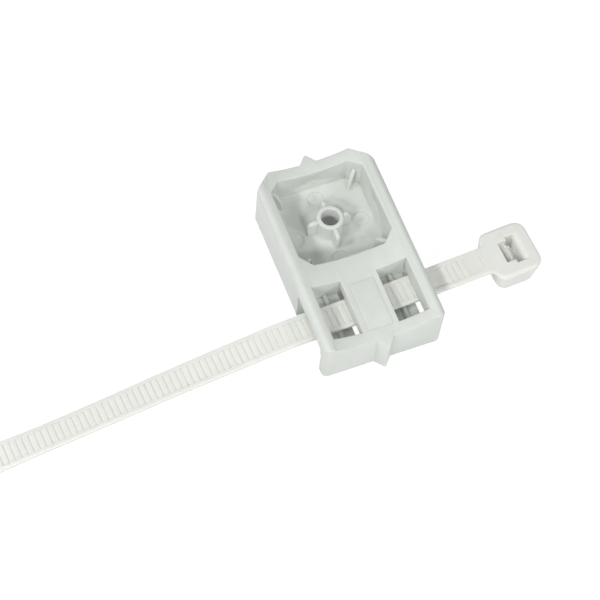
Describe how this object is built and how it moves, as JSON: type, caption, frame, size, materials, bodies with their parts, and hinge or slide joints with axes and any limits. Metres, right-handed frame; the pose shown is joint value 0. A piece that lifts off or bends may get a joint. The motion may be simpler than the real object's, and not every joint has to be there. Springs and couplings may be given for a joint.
{
  "type": "cable tie mount",
  "caption": "Nail-fixed plastic mount that holds a cable in its hollow front face with the cable tie threaded through its channel.",
  "frame": {"origin": "on the axis of the nail bore, on the wall face of the body", "axes": "+X along the tie channel towards the tie's head, +Y along the body towards the pocket end, +Z out of the wall towards the cable"},
  "size_m": [0.1796, 0.0585, 0.0144],
  "materials": {
    "mount_grey": "satin, fine moulded grain",
    "tie_white": "satin nylon, slightly translucent"
  },
  "bodies": {
    "root": {"mount_body": "mount_grey", "cable_tie": "tie_white"}
  },
  "joints": []
}
